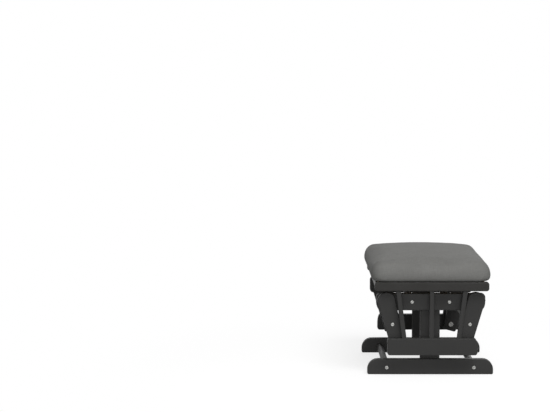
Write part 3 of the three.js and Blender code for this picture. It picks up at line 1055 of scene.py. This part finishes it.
@dataclass
class GlideFrame:
    """The seat's two side frames, its end rails and the board under the cushion."""

    lower_top: tuple = (9.0, 30.0)
    lower_square_top: tuple = (4.0, 8.0)
    lower_bottom: tuple = (8.0, 8.0)
    lower_trim: float = 4.5
    lower_edge: float = 2.5
    seat_corner: tuple = (8.0, 8.0)
    slat_width: float = 13.0
    slat_depth: float = 14.0
    slat_arris: float = 1.6
    slat_tenon: float = 1.2
    # The seat rails' paint is darker and a little warmer than the rest of the frame's; the darkening is
    # painted shade under the cushion's overhang.
    seat_paint_with_painted_shade: Finish = CharcoalPaint(Grain.ALONG, colour=(0.0258, 0.0248, 0.0232, 1.0))

    def build(self) -> None:
        """Builds the rails, the slats and the board."""
        for side in SIDES:
            self.lower_rail(side)
            low, high = box_mm(f"seat_rail_{side}")
            arcs = rounded_rectangle((low.x, low.z), (high.x, high.z), self.seat_corner, self.seat_corner)
            # Darker paint on the seat rails: painted shade.
            Board(arcs, low.y, high.y).dress(f"seat_rail_{side}", self.seat_paint_with_painted_shade, "seat")
        for end in ENDS:
            self.cross_board(f"seat_end_rail_{end}", CharcoalPaint(Grain.ACROSS), 1.5)
        self.cross_board("seat_board", BarePlywood(), 0.6)
        self.slats()

    def lower_rail(self, side: str) -> None:
        """Builds one lower rail with the blind bores of its pivot bolts.

        Args:
            side: its side.
        """
        node = f"lower_rail_{side}"
        low, high = box_mm(node)
        blind = blind_span(side, low, high)
        middles = [centre_mm(f"lower_pivot_bolt_{end}_{side}") for end in ENDS]
        bores = [Bore(middle.x, middle.z, PIVOT_BORE, *blind) for middle in middles]
        board = Board(self.lower_outline(side, low, high), low.y, high.y, edge=self.lower_edge, bores=bores)
        board.dress(node, CharcoalPaint(Grain.ALONG), "seat")

    def lower_outline(self, side: str, low: Vector, high: Vector) -> list:
        """Lays a lower rail's outline; both rails are one board turned round, with one square end.

        Args:
            side: the rail's side.
            low: the lowest corner of its node's box.
            high: the highest corner of its node's box.

        Returns:
            The arcs of its corners.
        """
        square = 2 if side == "right" else 1
        x0 = low.x + (self.lower_trim if side == "right" else 0.0)
        x1 = high.x - (self.lower_trim if side == "left" else 0.0)
        rounded, squared = (rounded_rectangle((x0, low.z), (x1, high.z), top, self.lower_bottom)
                            for top in (self.lower_top, self.lower_square_top))
        rounded[square] = squared[square]
        return rounded

    def cross_board(self, node: str, finish: Finish, edge: float) -> None:
        """Builds a board or rail that runs from side to side.

        Args:
            node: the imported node.
            finish: its finish.
            edge: the radius of its edges.
        """
        low, high = box_mm(node)
        corner = (edge + 0.5, edge + 0.5)
        arcs = rounded_rectangle((low.x, low.z), (high.x, high.z), corner, corner)
        board = Board(arcs, low.y, high.y, edge=edge, arc_steps=4, edge_steps=3)
        board.dress(node, finish, "seat", "dressed_")

    def slats(self) -> None:
        """Lays the six slats between the lower rails and the seat rails."""
        points, nodes = [], []
        half_width = self.slat_width / 2
        for side in SIDES:
            for place, sign in (("front", 1), ("middle", 0), ("rear", -1)):
                node = f"slat_{place}_{side}"
                low, high = box_mm(node)
                outward, inward = (high.x, low.x) if sign > 0 else (low.x, high.x)
                top_x = outward - sign * half_width if sign else 0.0
                bottom_x = inward + sign * half_width if sign else 0.0
                y = (low.y + high.y) / 2
                points.append(Vector((bottom_x, y, low.z - self.slat_tenon)) * MM)
                points.append(Vector((top_x, y, high.z + self.slat_tenon)) * MM)
                nodes.append(node)
        piece = grown("painted_slats", swept_bar_tree(False), points, bar_lines(len(nodes)),
                      CharcoalPaint(Grain.UPRIGHT), Width=self.slat_width * MM,
                      Depth=self.slat_depth * MM, Arris=self.slat_arris * MM)
        hand_over(piece, "seat", nodes)


@dataclass
class Crossbars:
    """The dowels that join the two sides of the base and of each pair of arms."""

    diameter: float = 20.0
    # The dowels' paint is darker than the rest of the frame's: painted shade that tones down the highlight on
    # their round sides.
    paint: Finish = CharcoalPaint(Grain.ACROSS, colour=(0.0275, 0.0272, 0.0265, 1.0))

    def build(self) -> None:
        """Lays the dowels of the base and of both pairs of arms."""
        tree = swept_bar_tree(True)
        self.lay("base", [f"{level}_crossbar_{end}" for level in ("foot", "upper") for end in ENDS], tree)
        for end in ENDS:
            self.lay(f"{end}_arms", [f"arm_crossbar_{end}"], tree)

    def lay(self, body: str, nodes: Sequence[str], tree: bpy.types.NodeTree) -> None:
        """Lays the dowels of one body from end to end of their nodes.

        Args:
            body: the body that carries them.
            nodes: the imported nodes.
            tree: the tree that makes dowels.
        """
        points = []
        for node in nodes:
            low, high = box_mm(node)
            middle = centre_mm(node)
            points += [Vector((middle.x, y, middle.z)) * MM for y in (low.y, high.y)]
        # Darker paint on the dowels: painted shade.
        piece = grown(f"painted_dowels_{body}", tree, points, bar_lines(len(nodes)), self.paint,
                      Width=self.diameter * MM)
        hand_over(piece, body, nodes)


def button_head(shank: float) -> Turned:
    """Shapes a domed bolt with a six-sided socket; its head faces -Y from Y = 0.

    Args:
        shank: the length of its shank.

    Returns:
        The bolt's shape.
    """
    return Turned((
        (0.0, -1.0, True), (2.1, -0.85, True), (2.25, -2.05, True), (2.75, -2.35, False),
        (3.9, -2.4, False), (4.8, -2.22, False), (5.5, -1.75, False), (5.9, -1.1, False),
        (6.0, -0.5, False), (5.9, 0.0, False), (3.2, 0.0, False), (3.0, 0.3, False),
        (3.0, shank - 0.8, False), (2.4, shank, False), (0.0, shank, False),
    ))


def hex_head(shank: float) -> Turned:
    """Shapes a six-sided bolt; its head faces +Y from Y = 0 and its shank runs to -Y.

    Args:
        shank: the length of its shank.

    Returns:
        The bolt's shape.
    """
    return Turned((
        (0.0, 4.2, False), (3.6, 4.2, False), (4.3, 4.75, False), (5.6, 5.0, False),
        (6.7, 4.95, False), (7.9, 4.45, True), (8.0, 4.2, True), (8.0, 0.6, True),
        (7.7, 0.3, True), (7.6, 0.0, False), (4.2, 0.0, False), (4.0, -0.3, False),
        (4.0, 0.8 - shank, False), (3.3, -shank, False), (0.0, -shank, False),
    ))


def nylon_disc() -> Turned:
    """Shapes a washer about the Y axis, with softened rims.

    Returns:
        The washer's shape.
    """
    return Turned((
        (4.15, -1.2, False), (4.5, -1.5, False), (12.4, -1.5, False), (13.0, -0.9, False),
        (13.0, 0.9, False), (12.4, 1.5, False), (4.5, 1.5, False), (4.15, 1.2, False), (4.15, -1.2, False),
    ), sides=48)


@dataclass
class Hardware:
    """The bolts and washers of the whole ottoman."""

    base_shank: float = 50.0
    arm_shank: float = 48.0
    upper_pivot_shank: float = 39.6
    lower_pivot_shank: float = 37.6
    button_height: float = 2.4
    hex_height: float = 5.0

    def build(self) -> None:
        """Puts every bolt and washer in place."""
        tree = fastener_tree()
        pairs = [f"{end}_{side}" for end in ENDS for side in SIDES]
        self.button_bolts(self.base_shank).put(
            "base", [f"{level}_bolt_{pair}" for level in ("foot", "upper") for pair in pairs], tree)
        for end in ENDS:
            self.button_bolts(self.arm_shank).put(
                f"{end}_arms", [f"arm_bolt_{end}_{side}" for side in SIDES], tree)
        for level, body, shank in (("upper", "base", self.upper_pivot_shank),
                                   ("lower", "seat", self.lower_pivot_shank)):
            Fastener("pivot_bolts", hex_head(shank), PlatedSteel(), "steel", False, self.hex_height).put(
                body, [f"{level}_pivot_bolt_{pair}" for pair in pairs], tree)
            self.washers(body, [f"{level}_washer_{pair}" for pair in pairs], tree)

    def button_bolts(self, shank: float) -> Fastener:
        """Returns the button-head bolt with a shank of that length."""
        return Fastener("button_bolts", button_head(shank), PlatedSteel(), "steel", True, self.button_height)

    @staticmethod
    def washers(body: str, nodes: Sequence[str], tree: bpy.types.NodeTree) -> None:
        """Puts a nylon disc in each pivot's gap.

        Args:
            body: the body that carries them.
            nodes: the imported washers.
            tree: the tree that places fasteners.
        """
        low, high = box_mm(nodes[0])
        half_thickness = (high.y - low.y) / 2
        disc = Fastener("washers", nylon_disc(), NaturalNylon(), "nylon", True, half_thickness)
        disc.put(body, nodes, tree)


@dataclass
class SeatCushion:
    """The stuffed seat: a soft box in woven cloth that is drawn down onto the seat's rails."""

    corner: float = 36.0
    foot_inset: float = 11.0
    widest_height: float = 20.0
    shoulder_inset: float = 32.0
    shoulder_height: float = 66.0
    shoulder_turn: float = 78.0
    crown_bend: float = 3.0
    waist: float = 0.8
    front_fullness: float = 2.4
    foot_steps: int = 8
    shoulder_steps: int = 16
    crown_steps: int = 13
    corner_steps: int = 8
    side_steps: int = 18
    slack: float = 2.0
    voxel: float = 5.0
    held_height: float = 2.0
    pressure: float = 0.6
    quality: int = 6
    frames: int = 20
    cap: float = 6.0
    flat_percent: float = 20.0
    lean: float = 3.0
    fill: float = 0.8

    def build(self) -> None:
        """Makes the cushion and hands it over."""
        low, high = box_mm("cushion")
        start = self.remeshed(self.start_form(low, high))
        points = self.coordinates(start.data)
        points = self.swollen(start, points)
        points = self.fitted(points, low, high)
        start.data.vertices.foreach_set("co", (points * MM).ravel())
        start.data.update()
        start.modifiers.new("round", "SUBSURF").levels = 1
        start.modifiers["round"].render_levels = 1
        mesh = evaluated_mesh(start)
        bpy.data.objects.remove(start)
        mesh.shade_smooth()
        piece = new_piece("seat_cushion", mesh, GreyWeave())
        hand_over(piece, "seat", ["cushion"])

    def profile(self) -> list:
        """Lays the wall's profile: a round foot, a bulge and a soft shoulder.

        Returns:
            (inset, height) of each ring, from the foot up.
        """
        found = []
        for step in range(self.foot_steps + 1):
            turn = math.pi / 2 * step / self.foot_steps
            found.append((self.foot_inset * (1 - math.sin(turn)), self.widest_height * (1 - math.cos(turn))))
        rise = self.shoulder_height - self.widest_height
        for step in range(1, self.shoulder_steps + 1):
            turn = math.radians(self.shoulder_turn) * step / self.shoulder_steps
            inset = self.shoulder_inset * (1 - math.cos(turn))
            found.append((inset, self.widest_height + rise * math.sin(turn)))
        return found

    def start_form(self, low: Vector, high: Vector) -> bpy.types.Object:
        """Builds the slack form: the stuffed box before its cover swells.

        Args:
            low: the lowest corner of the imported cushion's box.
            high: its highest corner.

        Returns:
            The form.
        """
        half = (high - low) / 2
        built = bmesh.new()
        loops = []
        for inset, z in self.profile():
            reach = (half.x - inset - self.slack, half.y - inset - self.slack)
            outline = self.with_waist(self.ring(reach, self.corner - inset / 2))
            loops.append([built.verts.new(Vector((x, y, low.z + z)) * MM) for x, y in outline])
        rim = [vertex.co / MM for vertex in loops[-1]]
        for step in range(1, self.crown_steps):
            share = 1 - step / self.crown_steps
            loops.append([built.verts.new(self.crowned(point, share, reach, high.z) * MM) for point in rim])
        for lower, upper in zip(loops, loops[1:]):
            Board.bridge(built, lower, upper)
        built.faces.new(loops[0])
        built.faces.new(loops[-1])
        bmesh.ops.recalc_face_normals(built, faces=built.faces[:])
        mesh = bpy.data.meshes.new("slack_form")
        built.to_mesh(mesh)
        built.free()
        return new_piece("slack_form", mesh, GreyWeave())

    def ring(self, reach: tuple, rear_radius: float) -> list:
        """Lays one ring of the wall, whose front corners keep their full radius.

        Args:
            reach: its half length and half width.
            rear_radius: the radius of its rear corners.

        Returns:
            (x, y, normal x, normal y) of each point.
        """
        box = ((-reach[0], -reach[1]), reach)
        front, rear = (rounded_rectangle(*box, (radius, radius), (radius, radius))
                       for radius in (self.corner, rear_radius))
        return [point for arc in front[:2] + rear[2:] for point in arc.points(self.corner_steps)]

    def with_waist(self, outline: Sequence[tuple]) -> list:
        """Adds points along the straight sides, fills the front one and draws the others in.

        Args:
            outline: a ring's points, with the same number at each corner.

        Returns:
            (x, y) of each point.
        """
        found = []
        corner_points = len(outline) // 4
        for index, (x, y, nx, ny) in enumerate(outline):
            found.append((x, y))
            if (index + 1) % corner_points:
                continue
            x1, y1 = outline[(index + 1) % len(outline)][:2]
            faces_front = nx > 0.9
            depth = -self.front_fullness if faces_front else self.waist
            for step in range(1, self.side_steps):
                share = step / self.side_steps
                drawn = depth * math.sin(share * math.pi) ** 2
                found.append((x + (x1 - x) * share - drawn * nx, y + (y1 - y) * share - drawn * ny))
        return found

    def crowned(self, point: Vector, share: float, reach: tuple, top: float) -> Vector:
        """Draws a point of the rim in towards the middle and lifts it onto the crown.

        Args:
            point: the point on the rim.
            share: how far out it stays, from 0 to 1.
            reach: the rim's half length and half width.
            top: the crown's height.

        Returns:
            The point on the crown.
        """
        x, y = point.x * share, point.y * share
        rise = (1 - abs(x / reach[0]) ** self.crown_bend) * (1 - abs(y / reach[1]) ** self.crown_bend)
        return Vector((x, y, point.z + (top - point.z) * rise))

    def remeshed(self, form: bpy.types.Object) -> bpy.types.Object:
        """Gives the form an even skin of small faces.

        Args:
            form: the slack form, which is removed.

        Returns:
            The even form.
        """
        modifier = form.modifiers.new("even skin", "REMESH")
        modifier.mode = "VOXEL"
        modifier.voxel_size = self.voxel * MM
        mesh = evaluated_mesh(form)
        bpy.data.objects.remove(form)
        return new_piece("even_form", mesh, GreyWeave())

    @staticmethod
    def coordinates(mesh: bpy.types.Mesh) -> np.ndarray:
        """Reads a mesh's points.

        Args:
            mesh: the mesh, in metres.

        Returns:
            Its points in millimetres, one in each row.
        """
        points = np.zeros(len(mesh.vertices) * 3)
        mesh.vertices.foreach_get("co", points)
        return points.reshape(-1, 3) / MM

    def swollen(self, form: bpy.types.Object, start: np.ndarray) -> np.ndarray:
        """Blows the form up with the cloth simulation and caps how far each point moves.

        Args:
            form: the slack form.
            start: its points in millimetres.

        Returns:
            The swollen form's points in millimetres.
        """
        held = form.vertex_groups.new(name="held")
        is_held = start[:, 2] < start[:, 2].min() + self.held_height
        held.add([int(index) for index in np.flatnonzero(is_held)], 1.0, "REPLACE")
        modifier = form.modifiers.new("stuffing", "CLOTH")
        cloth = modifier.settings
        cloth.vertex_group_mass = held.name
        cloth.quality = self.quality
        cloth.use_pressure = True
        cloth.uniform_pressure_force = self.pressure
        cloth.effector_weights.gravity = 0.0
        modifier.collision_settings.use_self_collision = False
        scene = bpy.context.scene
        for number in range(1, self.frames + 1):
            scene.frame_set(number)
        end = self.coordinates(evaluated_mesh(form))
        form.modifiers.remove(modifier)
        scene.frame_set(1)
        moved = end - start
        length = np.linalg.norm(moved, axis=1, keepdims=True)
        LOG.info("the stuffing moves points by %.1f mm at most", float(length.max()))
        return start + moved * np.minimum(1.0, self.cap / np.maximum(length, 1e-6))

    def fitted(self, points: np.ndarray, low: Vector, high: Vector) -> np.ndarray:
        """Flattens the underside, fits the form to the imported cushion's box and leans it a little.

        Args:
            points: the form's points in millimetres.
            low: the lowest corner of the box.
            high: its highest corner.

        Returns:
            The fitted points in millimetres.
        """
        floor = np.percentile(points[:, 2], self.flat_percent)
        points[:, 2] = np.maximum(points[:, 2], floor)
        smallest, largest = points.min(axis=0), points.max(axis=0)
        share = (points - smallest) / (largest - smallest)
        placed = np.array(low) + share * (np.array(high) - np.array(low))
        placed[:, 0] += self.lean * (share[:, 0] / 2 - np.sqrt(share[:, 2]))
        return placed


# The stage


def grey(level: float) -> tuple:
    """Returns the grey of that level."""
    return (level, level, level, 1.0)


def seen_directly(sheet: NodeSheet) -> bpy.types.NodeSocket:
    """Tells rays that show a surface to the viewer, straight or in metal, from rays of light.

    Args:
        sheet: the sheet of a stage material or of the world.

    Returns:
        A socket that gives 1 for rays that show it, and 0 for light.
    """
    path = sheet.add("ShaderNodeLightPath").outputs
    mirrored = sheet.math("MAXIMUM", path["Is Glossy Ray"], path["Is Transmission Ray"])
    return sheet.math("MAXIMUM", path["Is Camera Ray"], mirrored)


@dataclass(frozen=True)
class Viewpoint:
    """The photograph's viewpoint: a long lens that looks down a little at the near side."""

    place: tuple = (-0.46282, -5.81916, 1.05197)
    pitch: float = 5.5216
    turn: float = 0.0407
    lens: float = 123.95
    sensor: float = 36.0

    def build(self) -> None:
        """Sets the scene's camera."""
        data = bpy.data.cameras.new("view")
        data.sensor_width = self.sensor
        data.lens = self.lens
        camera = bpy.data.objects.new("view", data)
        camera.location = self.place
        camera.rotation_euler = (math.radians(90.0 - self.pitch), 0.0, math.radians(self.turn))
        bpy.context.scene.collection.objects.link(camera)
        bpy.context.scene.camera = camera


@dataclass(frozen=True)
class PaleFloor:
    """The pale floor, which keeps a faint shadow near the ottoman and is white farther off."""

    reach: float = 40.0
    lit: float = 0.4
    seen: float = 0.36
    glow: float = 0.76
    fade: tuple = (0.4, 1.1)

    def build(self) -> None:
        """Lays the floor."""
        mesh = bpy.data.meshes.new("floor")
        corners = [(x * self.reach, y * self.reach, 0.0) for x, y in ((-1, -1), (1, -1), (1, 1), (-1, 1))]
        mesh.from_pydata(corners, [], [(0, 1, 2, 3)])
        mesh.materials.append(self.material())
        floor = bpy.data.objects.new("floor", mesh)
        bpy.context.scene.collection.objects.link(floor)

    def material(self) -> bpy.types.Material:
        """Makes the floor's material, which lights the ottoman less than it shows.

        Returns:
            The material.
        """
        material = bpy.data.materials.new("pale_floor")
        material.use_nodes = True
        material.node_tree.nodes.clear()
        sheet = NodeSheet(material.node_tree)
        diffuse = sheet.add("ShaderNodeBsdfDiffuse", {"Color": grey(self.lit)})
        glow = sheet.add("ShaderNodeEmission", {"Color": grey(1.0), "Strength": self.glow})
        faint = sheet.add("ShaderNodeBsdfDiffuse", {"Color": grey(self.seen)})
        shaded = sheet.add("ShaderNodeAddShader", {0: glow.outputs[0], 1: faint.outputs[0]})
        white = sheet.add("ShaderNodeEmission", {"Color": grey(1.0), "Strength": 1.0})
        place = sheet.add("ShaderNodeTexCoord").outputs["Object"]
        distance = sheet.add("ShaderNodeVectorMath", {0: place}, operation="LENGTH").outputs["Value"]
        seen = sheet.add("ShaderNodeMixShader", {
            0: sheet.ramp(distance, *self.fade), 1: shaded.outputs[0], 2: white.outputs[0]})
        shader = sheet.add("ShaderNodeMixShader", {
            0: seen_directly(sheet), 1: diffuse.outputs[0], 2: seen.outputs[0]})
        sheet.add("ShaderNodeOutputMaterial", {"Surface": shader.outputs[0]})
        return material


@dataclass(frozen=True)
class Studio:
    """A plain pale light from all sides, and a white background."""

    ambient: float = 0.22

    def build(self) -> None:
        """Sets the scene's world."""
        world = bpy.data.worlds.new("studio")
        bpy.context.scene.world = world
        world.use_nodes = True
        world.node_tree.nodes.clear()
        sheet = NodeSheet(world.node_tree)
        ambient = sheet.add("ShaderNodeBackground", {"Color": grey(1.0), "Strength": self.ambient})
        white = sheet.add("ShaderNodeBackground", {"Color": grey(1.0), "Strength": 1.0})
        shader = sheet.add("ShaderNodeMixShader", {
            0: seen_directly(sheet), 1: ambient.outputs[0], 2: white.outputs[0]})
        sheet.add("ShaderNodeOutputWorld", {"Surface": shader.outputs[0]})


@dataclass(frozen=True)
class Lamp:
    """A soft square lamp that points at the middle of the ottoman; lengths are in metres."""

    name: str
    place: tuple
    size: float
    watts: float

    AIM = (0.0, 0.0, 0.2)

    def build(self) -> None:
        """Hangs the lamp."""
        data = bpy.data.lights.new(self.name, "AREA")
        data.size = self.size
        data.energy = self.watts
        lamp = bpy.data.objects.new(self.name, data)
        lamp.location = self.place
        aim = Vector(self.AIM) - Vector(self.place)
        lamp.rotation_euler = aim.to_track_quat("-Z", "Y").to_euler()
        bpy.context.scene.collection.objects.link(lamp)


LAMPS = (
    Lamp("overhead", (0.7, -2.0, 2.7), 1.6, 58.0),
    Lamp("front", (-0.2, -4.8, 0.9), 1.8, 66.0),
    Lamp("rim", (0.4, 2.8, 1.9), 2.0, 22.0),
)


def main() -> None:
    """Builds the stage and dresses every sub-assembly in order."""
    logging.basicConfig(level=logging.INFO, format="%(name)s: %(message)s")
    bpy.context.scene.view_settings.view_transform = "Standard"
    for part in (Viewpoint(), PaleFloor(), Studio(), *LAMPS):
        part.build()
    for assembly in (StandingBase(), SwingArms(), GlideFrame(), Crossbars(), Hardware(), SeatCushion()):
        assembly.build()
        LOG.info("%s is built", type(assembly).__name__)


if __name__ == "__main__":
    main()
